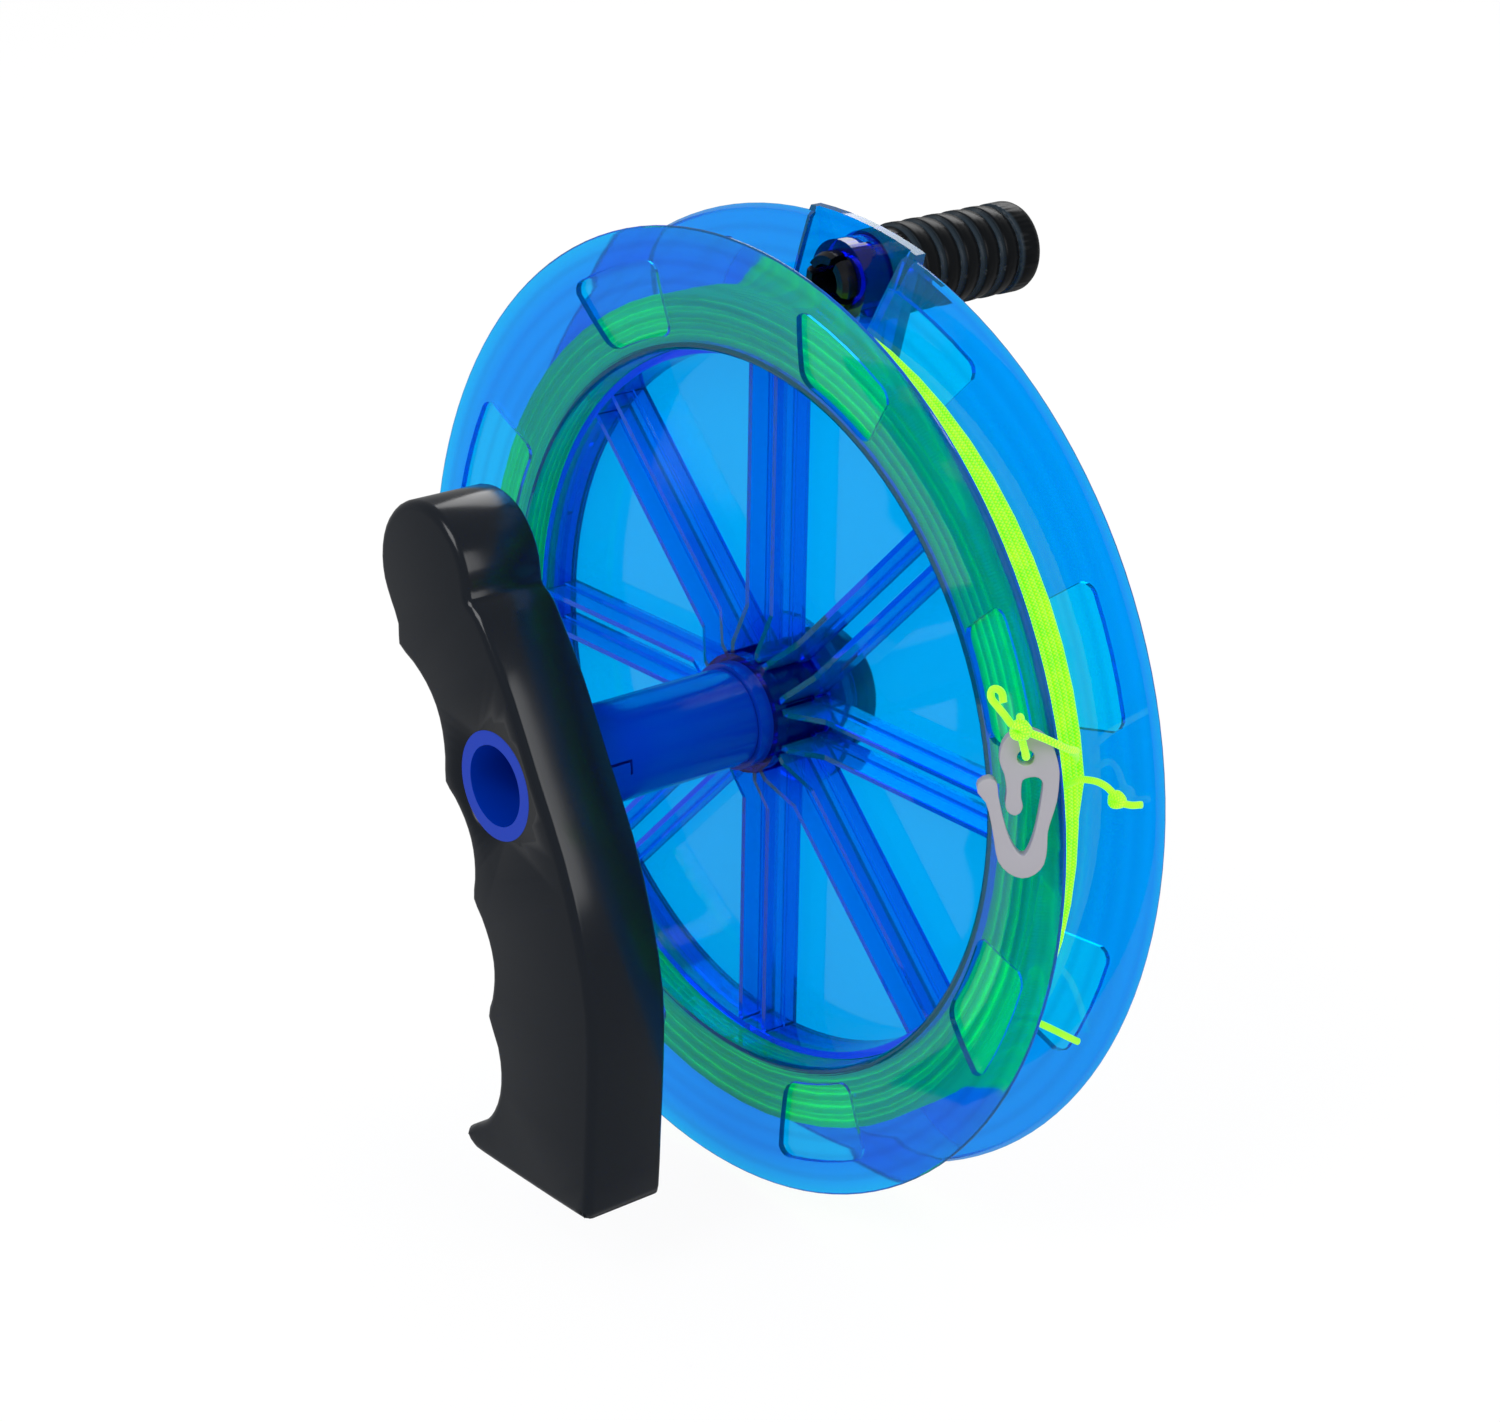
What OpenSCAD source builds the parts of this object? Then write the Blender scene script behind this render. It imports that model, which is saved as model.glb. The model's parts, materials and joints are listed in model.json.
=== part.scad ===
// Kite line winder: a flanged wheel that carries the line turns on a tube held by a finger grip.
// A ribbed knob behind the rim winds the wheel, and a clip on the line's end parks beside it.
// Frame: +Z up, the wheel's axle along Y, the origin on the axle at the middle of the grip's
// thickness; the wheel lies on the +Y side, and its knob and clip are placed as they rest.

/* [Wheel] */
// Outside diameter of the rear flange
wheel_d = 222; // [216:1:230]
// How far the front rim stays within the rear rim
front_rim_in = 1.1; // [0.8:0.1:1.6]
// Width of the wheel from the front rim to the rear rim
wheel_w = 28; // [27:0.5:30]
// Height of the rear flange above the drum that the line is wound on
flange_h = 27; // [25.5:0.5:28]
// Wall of the drum
drum_wall = 2; // [1.8:0.1:2.4]
// Wall of the flanges
flange_t = 2.2; // [1.8:0.1:2.4]
// How far the front flange falls back from its rim to the drum
front_flare = 4.2; // [3.5:0.1:4.6]
// How far the rear flange stands back at its rim, against its foot at the drum
rear_flare = 8.3; // [7.6:0.1:8.8]
// Depth of the web's front face behind the front rim
web_depth = 21; // [20:0.5:22]
// Wall of the web that closes the wheel
web_t = 1; // [0.8:0.1:1.6]
// Width over which the front flange thins towards its rim
rim_taper_w = 7; // [6:0.5:9]
// Thickness of the front rim's edge
rim_edge_t = 0.8; // [0.6:0.1:1]
// Wall left at the windows of both flanges
skin_t = 0.8; // [0.6:0.1:1.2]

/* [Windows] */
// Angle that a window takes at its inner edge
window_arc_in = 16; // [12:1:20]
// Angle that a window takes at its outer edge
window_arc_out = 18; // [14:1:22]
// Height of a window, along the radius
window_h = 17; // [12:0.5:18]
// Corner radius of a window
window_corner = 3.5; // [2:0.5:5]

/* [Spokes and hub] */
// Number of spokes, each a pair of ribs, and of windows in each flange
spoke_count = 8; // [5:1:9]
// Wall of a rib
rib_t = 1.3; // [1:0.1:1.8]
// Wall of the rib's foot on the web
rib_foot_t = 2.3; // [1.8:0.1:3]
// Height of the foot above the web
rib_foot_h = 3.5; // [2:0.5:5]
// Distance between the two ribs of a spoke
rib_pitch = 8.4; // [7:0.2:10]
// Height of a rib above the web
rib_h = 9; // [7:0.5:10]
// Wall of the ring that the ribs run into, inside the drum
spigot_t = 1.7; // [1.4:0.1:2.2]
// Wall of the hub's sleeve
hub_wall = 1.45; // [1.3:0.05:1.8]
// Height of the bead round the front of the hub
hub_bead_h = 0.9; // [0.6:0.1:1.4]
// Width of the disc behind the hub, out from its sleeve
hub_disc_w = 7.2; // [5:0.2:9]

/* [Axle] */
// Outside diameter of the tube between the grip and the wheel
tube_d = 22.4; // [22:0.1:22.8]
// Wall of the tube, whose bore is open at the grip's outer face
tube_wall = 2.2; // [2.1:0.1:2.8]
// Height of the step from the tube down to the journal that the wheel turns on
journal_step = 1.3; // [1.1:0.1:1.5]
// Wall of the journal
journal_wall = 2.5; // [2.1:0.1:3.2]
// How far the tube's head stands out round the tube, flush in the grip's outer face
tube_head_w = 0.95; // [0.8:0.05:1.3]
// Wall of the two bearing bushes
bush_wall = 1.35; // [1.2:0.05:1.5]
// How far the bushes' flanges stand out round the bushes
bush_flange_w = 0.9; // [0.7:0.1:1.4]
// Thickness of the front bush's flange
bush_flange_t = 3.4; // [2.6:0.1:4]
// How far the cap that keeps the wheel on the tube stands out round the journal
cap_w = 4.6; // [3.5:0.1:6]
// Thickness of that cap
cap_t = 3; // [2:0.5:5]
// Thickness of the washer under the cap
washer_t = 1; // [0.8:0.1:1.5]

/* [Grip] */
// Distance between the grip's inner face and the front rim
wheel_gap = 40; // [36:1:46]
// Thickness of the grip
grip_t = 20; // [18:0.5:24]
// Length of the grip from the axle down to its heel
grip_l = 92.5; // [88:0.5:100]
// Mean width of the grip beside the tube
palm_w = 8.3; // [7.5:0.1:9]
// Height of the hook's tip above the heel
hook_h = 4.9; // [4:0.1:6]
// Diameter of the grip's round head
grip_head_d = 32.8; // [31:0.2:34]
// Wall of the grip's shell
grip_wall = 2.4; // [2:0.1:2.8]
// Radius of the grip's outer edge
grip_edge_r = 2; // [1.4:0.2:2.2]
// Diameter of the grip's three screws
screw_d = 2.9; // [2.6:0.1:3.2]

/* [Knob] */
// Distance between the rear rim's edge and the knob's axis
knob_in = 10.1; // [9.6:0.1:10.4]
// Diameter of the knob
knob_d = 20; // [19:0.5:22]
// Length of the knob behind the wheel
knob_l = 41; // [38:0.5:50]
// Number of rounded rings on the knob before its end
knob_rings = 5; // [4:1:6]
// Depth of the grooves between the rings
knob_groove = 0.7; // [0.5:0.1:1]
// Diameter of the knob's stem
stem_d = 11.8; // [11:0.1:12]
// Wall of the boss that the stem turns in
boss_wall = 2.8; // [2.2:0.1:3]
// Wall of the pocket round the boss
pocket_wall = 1.6; // [1.2:0.1:2]
// Distance between the knob's plate and the rear rim
plate_drop = 0; // [0:0.1:0.5]

/* [Line and clip] */
// Diameter of the line
line_d = 1.5; // [1.2:0.1:1.5]
// Depth of the wound line on the drum
pack_h = 9.9; // [9:0.1:10]
// How far the wound line lies off the axle, towards the clip's side
pack_lean = 1.4; // [0:0.1:1.6]
// Turns in the outer layer
turns = 6; // [5:1:6]
// Length of the clip
clip_l = 32; // [30:0.5:33]
// Thickness of the clip
clip_t = 2.6; // [2:0.1:3]
// Diameter of the clip's eye
clip_eye_d = 3.4; // [3.2:0.1:3.6]

/* [Hidden] */
$fn = 96;
over = 1;              // every cut runs past the solid by this much
run = 0.05;            // radial clearance of a running or seated fit
seat = 0.1;            // clearance of a piece let into another
end_play = 0.3;        // axial clearance of the pieces that turn

// Places along the axle. Those of the wheel count from its front rim, at wheel_y.
wheel_y = grip_t/2 + wheel_gap;
rim_r = wheel_d/2;
front_rim_r = rim_r - front_rim_in;
drum_r = rim_r - flange_h;
rear_foot = wheel_w - flange_t - rear_flare;
web_back = web_depth + web_t;
spigot_r = drum_r - drum_wall - seat;
groove_r = drum_r + seat;
groove_wall = 1.8;
foot_r = groove_r + groove_wall;
rib_front = web_depth - rib_h;
plate_y = wheel_w + plate_drop;
plate_back = plate_y + flange_t;

// The tube, the hub and what turns in it.
tube_bore_d = tube_d - 2*tube_wall;
tube_head_d = tube_d + 2*tube_head_w;
journal_d = tube_d - 2*journal_step;
journal_bore_d = journal_d - 2*journal_wall;
bush_bore_d = journal_d + 2*run;
bush_d = bush_bore_d + 2*bush_wall;
bush_flange_d = bush_d + 2*bush_flange_w;
hub_bore_d = bush_d + 2*run;
hub_d = hub_bore_d + 2*hub_wall;
hub_bead_d = hub_d + 2*hub_bead_h;
hub_disc_d = hub_d + 2*hub_disc_w;
cap_d = journal_d + 2*cap_w;
hub_front = 6.6;
hub_bead_w = 2.9;
hub_disc_t = 2;
hub_back = 30;
collar_wall = 1;
collar_d = hub_d + 2*collar_wall;
bush_l = 10;
bush_back_t = 1.5;
shoulder_y = hub_front - bush_flange_t - end_play;
washer_y = hub_back + bush_back_t + end_play;
cap_y = washer_y + washer_t + seat;
cap_plug_l = 10;
cap_plug_wall = 1.6;
cap_edge = 0.8;

// Fins where the ribs meet the hub.
fin_front = 8;
fin_l = 4;
fin_slope = 8;
hub_mid_r = (hub_bore_d + hub_d)/4;
rib_start = sqrt(pow(hub_mid_r, 2) - pow(rib_pitch/2, 2));
rib_end = spigot_r - spigot_t/2;
mark_d = 4;
mark_wall = 0.5;
mark_h = 0.4;
mark_drop = 9;
mark_r = drum_r - mark_drop;

// Angles, clockwise from straight up as the grip's side sees the wheel.
wheel_turn = 1.4;
knob_angle = 9.2;
pocket_before = 9.6;
pocket_after = 7.9;
window_rise = 1.5;
window_r = drum_r + window_rise;
rear_window_r = window_r + window_rise;

// ---- Shared shapes ------------------------------------------------------------------------

// Points of an arc round centre c.
function arc(c, r, a0, a1, n) =
  [for (i = [0:n]) let (a = a0 + (a1 - a0)*i/n) c + r*[cos(a), sin(a)]];

// A point of the wheel's face at radius r and clock angle a, for shapes laid on that face.
function clock(r, a) = [r*sin(a), -r*cos(a)];

// A closed smooth curve through points p, with n steps between neighbours.
function closed_curve(p, n) = let (m = len(p)) [
  for (i = [0:m - 1], k = [0:n - 1])
    let (a = p[(i + m - 1) % m], b = p[i], c = p[(i + 1) % m], d = p[(i + 2) % m], t = k/n)
      (2*b + (c - a)*t + (2*a - 5*b + 4*c - d)*t*t + (3*b - a - 3*c + d)*t*t*t)/2
];

// The outline p moved in by d. At a tight outer corner the move stays within its radius.
function inset(p, d) = let (m = len(p)) [
  for (i = [0:m - 1])
    let (
      a = p[(i + m - 1) % m], b = p[i], c = p[(i + 1) % m],
      u = (b - a)/norm(b - a), v = (c - b)/norm(c - b),
      turn = asin(max(-1, min(1, u[0]*v[1] - u[1]*v[0])))*PI/180,
      tight = turn > 0 ? 0.7*norm(c - a)/2/turn : d,
      t = (u + v)/norm(u + v)
    ) b - min(d, max(tight, 0))*[t[1], -t[0]]
];

// Turns a profile of [radius, depth] points round the axle.
module turned(profile, fn = 144) {
  rotate([-90, 0, 0]) rotate_extrude($fn = fn) polygon(profile);
}

// A rod along the axle from depth y0 to y1.
module rod(d, y0, y1) {
  translate([0, y0, 0]) rotate([-90, 0, 0]) cylinder(d = d, h = y1 - y0);
}

module ring(d_out, d_in, y0, y1) {
  difference() {
    rod(d_out, y0, y1);
    rod(d_in, y0 - over, y1 + over);
  }
}

// Lifts a flat shape of the wheel's face into a block from depth y0 to y1.
module deep(y0, y1) {
  translate([0, y0, 0]) rotate([-90, 0, 0]) linear_extrude(y1 - y0) children();
}

// Triangles that fill outline p, row by row from its highest point down its two sides.
function fill(p) =
  let (
    m = len(p), zs = [for (q = p) q[1]],
    top = search(max(zs), zs)[0], low = search(min(zs), zs)[0], a = (low - top + m) % m
  ) [
    for (
      s = 0, i = 0, j = 0, left = zs[(top + 1) % m] > zs[(top + m - 1) % m]; s < m - 1;
      i = i + (left ? 1 : 0), j = j + (left ? 0 : 1), s = s + 1,
      left = j >= m - a || (i < a && zs[(top + i + 1) % m] >= zs[(top + 2*m - j - 1) % m])
    )
      if (s > 0)
        let (l = (top + i) % m, r = (top + 2*m - j) % m)
          left ? [r, l, (l + 1) % m] : [(r + m - 1) % m, r, l]
  ];

// A closed mesh over rings of m points each. Its ends are filled by the given triangles,
// or by one flat face each where the rings are simple.
module skin(rings, first_end = [], last_end = []) {
  m = len(rings[0]);
  n = len(rings);
  polyhedron(
    points = [for (r = rings) each r],
    faces = concat(
      len(first_end) > 0 ? first_end : [[for (j = [0:m - 1]) j]],
      [for (i = [0:n - 2], j = [0:m - 1]) [i*m + j, (i + 1)*m + j, (i + 1)*m + (j + 1) % m]],
      [for (i = [0:n - 2], j = [0:m - 1]) [i*m + j, (i + 1)*m + (j + 1) % m, i*m + (j + 1) % m]],
      len(last_end) > 0 ? [for (f = last_end) [for (k = [2:-1:0]) (n - 1)*m + f[k]]]
        : [[for (j = [m - 1:-1:0]) (n - 1)*m + j]]
    ),
    convexity = 10
  );
}

// Directions along a route, and the side vectors that carry its tube without a twist.
function unit(v) = v/norm(v);
function headings(p) = let (n = len(p)) [
  for (i = [0:n - 1])
    i == 0 ? unit(p[1] - p[0])
    : i == n - 1 ? unit(p[n - 1] - p[n - 2])
    : unit(unit(p[i + 1] - p[i]) + unit(p[i] - p[i - 1]))
];
function across(u, t) = unit(u - t*(u*t));
function sides(t, first) = [
  for (i = 0, u = across(first, t[0]); i < len(t);
       i = i + 1, u = i < len(t) ? across(u, t[i]) : u) u
];

// A tube of diameter d along route p, with n sides; first fixes where its sides start.
module tube(p, d, n, first = [0, 1, 0.01]) {
  t = headings(p);
  u = sides(t, first);
  skin([
    for (i = [0:len(p) - 1]) let (v = cross(t[i], u[i])) [
      for (j = [0:n - 1]) let (a = 360*(j + 0.5)/n) p[i] + d/2*(cos(a)*u[i] + sin(a)*v)
    ]
  ]);
}

// ---- Wheel --------------------------------------------------------------------------------

// Depth of each flange's front face at radius r.
function flange_share(r) = max(0, min(1, (r - drum_r)/(rim_r - drum_r)));
function front_face(r) = front_flare*pow(1 - flange_share(r), 1.8);
function rear_face(r) = rear_foot + rear_flare*pow(flange_share(r), 1.25);
flange_steps = 6;
corner_r = 2;

// Radii at which the flanges' curved faces are drawn.
function flange_radii(r0, r1) = [for (i = [0:flange_steps]) r0 + (r1 - r0)*i/flange_steps];

// The front flange thins to a blunt edge.
taper_r = front_rim_r - rim_taper_w;
front_profile = concat(
  [[drum_r - drum_wall, web_depth]],
  arc([drum_r - drum_wall + corner_r, front_flare + corner_r], corner_r, 180, 270, 5),
  [for (r = flange_radii(drum_r + corner_r, front_rim_r - rim_edge_t)) [r, front_face(r)]],
  arc([front_rim_r - rim_edge_t/2, rim_edge_t/2], rim_edge_t/2, 270, 435, 5),
  [for (r = flange_radii(taper_r, drum_r + corner_r)) [r, front_face(r) + flange_t]],
  [[drum_r, front_flare + flange_t], [drum_r, web_depth]]
);

// The rear flange ends in a small round.
bead_r = 0.8;
rear_profile = concat(
  [
    [hub_bore_d/2, web_depth], [rib_end - spigot_t/2, web_depth],
    [rib_end - spigot_t/2, rib_front], [spigot_r, rib_front], [spigot_r, web_depth],
    [groove_r, web_depth]
  ],
  [for (r = flange_radii(groove_r, rim_r - bead_r)) [r, rear_face(r)]],
  arc([rim_r - bead_r, wheel_w - bead_r], bead_r, 345, 450, 5),
  [for (r = flange_radii(rim_r - 2*bead_r, foot_r)) [r, rear_face(r) + flange_t]],
  [[foot_r, web_back], [hub_bore_d/2, web_back]]
);

// A window's outline from radius r0, round the clock angle a.
function window(r0, a) =
  let (
    r1 = r0 + window_h, c = window_corner,
    ai = window_arc_in/2, ao = window_arc_out/2,
    ci = c/r0*180/PI, co = c/r1*180/PI
  ) concat(
    [for (f = [-1:0.5:1]) clock(r1, a + f*(ao - co))],
    [for (k = [22.5:22.5:67.5]) clock(r1 - c*(1 - cos(k)), a + ao - co*(1 - sin(k)))],
    [for (k = [0:22.5:67.5]) clock(r0 + c*(1 - sin(k)), a + ai - ci*(1 - cos(k)))],
    [for (f = [1:-0.5:-1]) clock(r0, a + f*(ai - ci))],
    [for (k = [67.5:-22.5:0]) clock(r0 + c*(1 - sin(k)), a - ai + ci*(1 - cos(k)))],
    [for (k = [67.5:-22.5:22.5]) clock(r1 - c*(1 - cos(k)), a - ao + co*(1 - sin(k)))]
  );

module windows(r0, y0, y1) {
  for (i = [0:spoke_count - 1])
    deep(y0, y1) polygon(window(r0, wheel_turn + (i + 0.5)*360/spoke_count));
}

// The space in front of the front flange's back face, less the windows' wall.
front_of_skin = concat(
  [for (r = flange_radii(drum_r, rim_r)) [r, front_face(r) + flange_t - skin_t]],
  [[rim_r, -2*over], [drum_r, -2*over]]
);

module wheel_front() color("dodgerblue") translate([0, wheel_y, 0]) difference() {
  turned(front_profile);
  intersection() {
    windows(window_r, -over, front_flare + flange_t);
    turned(front_of_skin);
  }
}

// One spoke, drawn straight up: two ribs on wider feet, with a fin at the hub.
module spoke() {
  fin_r = rib_start + fin_l;
  rib = [
    [rib_start, web_depth], [rib_start, fin_front], [fin_r, fin_front],
    [fin_r + fin_slope, rib_front], [rib_end, rib_front], [rib_end, web_depth]
  ];
  foot = [
    [rib_start, web_depth], [rib_start, web_depth - rib_foot_h],
    [rib_end, web_depth - rib_foot_h], [rib_end, web_depth]
  ];
  for (side = [-1, 1]) translate([side*rib_pitch/2, 0, 0]) rotate([0, -90, 0]) {
    linear_extrude(rib_t, center = true) polygon(rib);
    linear_extrude(rib_foot_t, center = true) polygon(foot);
  }
}

// The space behind the rear flange's face, out to the back of the knob's plate.
function behind_flange(rise, back, out) = concat(
  [for (r = flange_radii(foot_r - groove_wall/2, rim_r)) [r, rear_face(r) + rise]],
  [[rim_r + out, plate_y - flange_t/4], [rim_r + out, back], [foot_r - groove_wall/2, back]]
);

// The face of the pocket round the knob from radius r0 to r1, shrunk at both sides by a wall.
function pocket(wall, r0, r1) =
  let (
    s = wall/r0*180/PI, n = 4,
    a0 = knob_angle - pocket_before + s, a1 = knob_angle + pocket_after - s
  ) concat(
    [for (i = [0:n]) clock(r1, a0 + (a1 - a0)*i/n)],
    [for (i = [n:-1:0]) clock(r0, a0 + (a1 - a0)*i/n)]
  );

plate_bulge = 1;
knob_offset = rim_r - knob_in;
boss_depth = 7.3;
boss_d = stem_d + 4*run + 2*boss_wall;
boss_front = plate_y - boss_depth;

module boss() rotate([0, knob_angle, 0]) {
  reach = knob_offset - foot_r;
  depth = boss_depth + flange_t/2;
  translate([0, 0, knob_offset]) rod(boss_d, boss_front, boss_front + depth);
  for (side = [-1, 1])
    translate([side*(boss_d/2 - pocket_wall), boss_front + depth/2, knob_offset - reach/2])
      cube([pocket_wall, depth, reach], center = true);
}

module wheel_back() color("deepskyblue") translate([0, wheel_y, 0]) difference() {
  union() {
    difference() {
      union() {
        difference() {
          turned(rear_profile);
          intersection() {
            windows(rear_window_r, rear_foot, plate_back + over);
            turned(behind_flange(skin_t, plate_back + 2*over, over));
          }
        }
        intersection() {
          deep(rear_foot - over, plate_back + over) polygon(pocket(0, foot_r - groove_wall, rim_r + 3*over));
          turned(behind_flange(flange_t/2, plate_back, plate_bulge));
        }
      }
      deep(rear_foot - over, plate_y) polygon(pocket(pocket_wall, foot_r + seat, rim_r + 2*over));
    }
    boss();
    for (i = [0:spoke_count - 1]) rotate([0, wheel_turn + i*360/spoke_count, 0]) spoke();
    rod(hub_d, hub_front, hub_back);
    rod(hub_bead_d, hub_front, hub_front + hub_bead_w);
    rod(hub_disc_d, web_back - web_t/2, web_back + hub_disc_t);
    rod(collar_d, web_back, hub_back);
    rotate([0, wheel_turn + 360/spoke_count, 0]) translate([0, 0, mark_r])
      ring(mark_d, mark_d - 2*mark_wall, web_depth - mark_h, web_depth + web_t/2);
  }
  rod(hub_bore_d, hub_front - over, hub_back + over);
  rotate([0, knob_angle, 0]) translate([0, 0, knob_offset])
    rod(stem_d + 4*run, boss_front - over, plate_back + over);
}

module front_bush() color("darkblue") translate([0, wheel_y, 0]) difference() {
  union() {
    rod(bush_flange_d, hub_front - bush_flange_t, hub_front);
    rod(bush_d, hub_front - over, hub_front + bush_l);
  }
  rod(bush_bore_d, hub_front - bush_flange_t - over, hub_front + bush_l + over);
}

module rear_bush() color("darkblue") translate([0, wheel_y, 0]) difference() {
  union() {
    rod(bush_flange_d, hub_back, hub_back + bush_back_t);
    rod(bush_d, hub_back - bush_l, hub_back + over);
  }
  rod(bush_bore_d, hub_back - bush_l - over, hub_back + bush_back_t + over);
}

// ---- Axle ---------------------------------------------------------------------------------

// The tube's snap tab beside the grip's inner face: an L-shaped slot through the wall.
slot_w = 0.6;
slot_long = 6;
slot_short = 3.4;
slot_angle = 78;
slot_start = 1.6;

module axle_tube() color("midnightblue") difference() {
  union() {
    rod(tube_head_d, -grip_t/2, -grip_t/2 + grip_wall);
    rod(tube_d, -grip_t/2, wheel_y + shoulder_y);
    rod(journal_d, wheel_y + shoulder_y - over, wheel_y + cap_y);
  }
  rod(tube_bore_d, -grip_t/2 - over, wheel_y);
  rod(journal_bore_d, wheel_y - over, wheel_y + cap_y + over);
  rotate([0, slot_angle, 0]) translate([0, grip_t/2 + slot_start, tube_d/2]) {
    translate([0, 0, -tube_d/4]) cube([slot_w, slot_w + slot_long, tube_d/2 + over]);
    translate([0, slot_long, -tube_d/4]) cube([slot_short, slot_w, tube_d/2 + over]);
  }
}

module rear_washer() color("dimgray") translate([0, wheel_y, 0])
  ring(bush_flange_d, journal_d + 2*run, washer_y, washer_y + washer_t);

module rear_cap() color("black") translate([0, wheel_y, 0]) difference() {
  union() {
    turned([
      [0, cap_y], [cap_d/2, cap_y], [cap_d/2, cap_y + cap_t - cap_edge],
      [cap_d/2 - cap_edge, cap_y + cap_t], [0, cap_y + cap_t]
    ]);
    rod(journal_bore_d - 2*run, cap_y - cap_plug_l, cap_y + over);
  }
  rod(journal_bore_d - 2*run - 2*cap_plug_wall, cap_y - cap_plug_l - over, cap_y);
}

// ---- Grip ---------------------------------------------------------------------------------

// The outline stands in the XZ plane.
// Across, shares of its width at the tube; up, shares of its length below the axle.
palm = tube_d + 2*palm_w;
head_share = [-0.638, 0.435];
// Points that follow the head, in shares of its diameter from its centre.
chin_shares = [[-0.341, -0.418], [-0.335, -0.57]];
nape_shares = [[0.631, -0.122], [0.543, -0.058]];
// Points between the finger grooves, from under the chin down.
cusp_shares = [[-0.51, -0.058], [-0.273, -0.322], [-0.162, -0.61]];
// Depth of each finger groove as a share of its width, and how full its curve is.
groove_shares = [0.2, 0.177, 0.17, 0.25];
groove_powers = [1, 1, 1, 0.75];
// The hook's tip and the heel, their heights in shares of the hook's.
heel_shares = [
  [-0.392, 1], [-0.395, 0.47], [-0.338, 0.14], [-0.246, 0.04], [0.187, 0], [0.656, 0], [0.728, 0.1], [0.764, 0.47]
];
back_shares = [
  [0.792, -0.821], [0.824, -0.633], [0.826, -0.455], [0.733, -0.278],
  [0.579, -0.104], [0.368, 0.062], [0.159, 0.229], [0.009, 0.324]
];
function on_grip(shares) = [for (p = shares) [p[0]*palm, p[1]*grip_l]];
head_at = on_grip([head_share])[0];
function on_head(shares) = [for (p = shares) head_at + p*grip_head_d];
chin = on_head(chin_shares);
heel = [for (p = heel_shares) [p[0]*palm, p[1]*hook_h - grip_l]];
cusps = concat([chin[1]], on_grip(cusp_shares), [heel[0]]);

function groove(a, b, depth_share, power) =
  let (d = b - a, out = [-d[1], d[0]]) [
    for (t = [0:1/6:0.9]) a + d*t + out*depth_share*pow(sin(180*t), power)
  ];

grip_points = concat(
  arc(head_at, grip_head_d/2, -2, 214, 12),
  [chin[0]],
  [for (i = [0:3]) each groove(cusps[i], cusps[i + 1], groove_shares[i], groove_powers[i])],
  heel,
  on_grip(back_shares),
  on_head(nape_shares)
);
grip_outline = closed_curve(grip_points, 2);

// Seen from the wheel's side the outline runs the other way, so blocks are drawn from there.
module grip_block(outline, y0, y1) {
  translate([0, y0, 0]) rotate([-90, 0, 0])
    linear_extrude(y1 - y0) polygon([for (p = outline) [p[0], -p[1]]]);
}

module rounded_grip() {
  n = 4;
  back_edge = grip_edge_r/2;
  function level(d) = let (q = inset(grip_outline, d)) [for (i = [len(q) - 1:-1:0]) q[i]];
  function at(d, y) = [for (q = level(d)) [q[0], y, q[1]]];
  skin(
    concat(
      [for (k = [0:n]) let (a = 90*k/n)
        at(grip_edge_r*(1 - sin(a)), -grip_t/2 + grip_edge_r*(1 - cos(a)))],
      [for (k = [0:n - 1]) let (a = 90*k/(n - 1))
        at(back_edge*(1 - cos(a)), grip_t/2 - back_edge*(1 - sin(a)))]
    ),
    fill(level(grip_edge_r)), fill(level(back_edge))
  );
}

// The three screws: in the head, below the middle of the palm, and in the heel.
screw_shares = [[-0.636, 0.453], [0.282, -0.396], [0.235, -0.861]];
screw_wall = 2.2;
screw_head_d = 5.6;
screw_head_t = 1.4;
screw_l = 10;
slot_t = 0.8;
sleeve_wall = 1.8;
cover_wall = grip_wall;

module at_screws() {
  for (p = on_grip(screw_shares)) translate([p[0], 0, p[1]]) children();
}

module grip_shell() color("#22282e") difference() {
  rounded_grip();
  difference() {
    grip_block(inset(grip_points, grip_wall), -grip_t/2 + grip_wall, grip_t/2 + over);
    rod(tube_d + 2*run + 2*sleeve_wall, -grip_t/2, grip_t/2 - cover_wall);
    at_screws() rod(screw_d + 2*screw_wall, -grip_t/2, grip_t/2 - cover_wall);
  }
  rod(tube_head_d + 2*run, -grip_t/2 - over, -grip_t/2 + grip_wall);
  rod(tube_d + 2*run, -grip_t/2 - over, grip_t/2 + over);
  at_screws() rod(screw_d + 2*run, grip_t/2 - cover_wall - screw_l, grip_t/2 + over);
}

module grip_cover() color("#2a3036") difference() {
  grip_block(inset(grip_points, grip_wall + seat), grip_t/2 - cover_wall, grip_t/2);
  rod(tube_d + 2*run, -grip_t, grip_t);
  at_screws() {
    rod(screw_d + 2*run, 0, grip_t);
    rod(screw_head_d + 2*seat, grip_t/2 - screw_head_t - seat, grip_t/2 + over);
  }
}

module grip_screws() color("silver") at_screws() difference() {
  union() {
    rod(screw_head_d, grip_t/2 - screw_head_t - seat, grip_t/2 - seat);
    rod(screw_d, grip_t/2 - cover_wall - screw_l + seat, grip_t/2 - screw_head_t);
  }
  for (a = [0, 90]) rotate([0, a, 0]) translate([0, grip_t/2, 0])
    cube([screw_head_d/2, screw_head_t, slot_t], center = true);
}

// ---- Knob ---------------------------------------------------------------------------------

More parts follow.
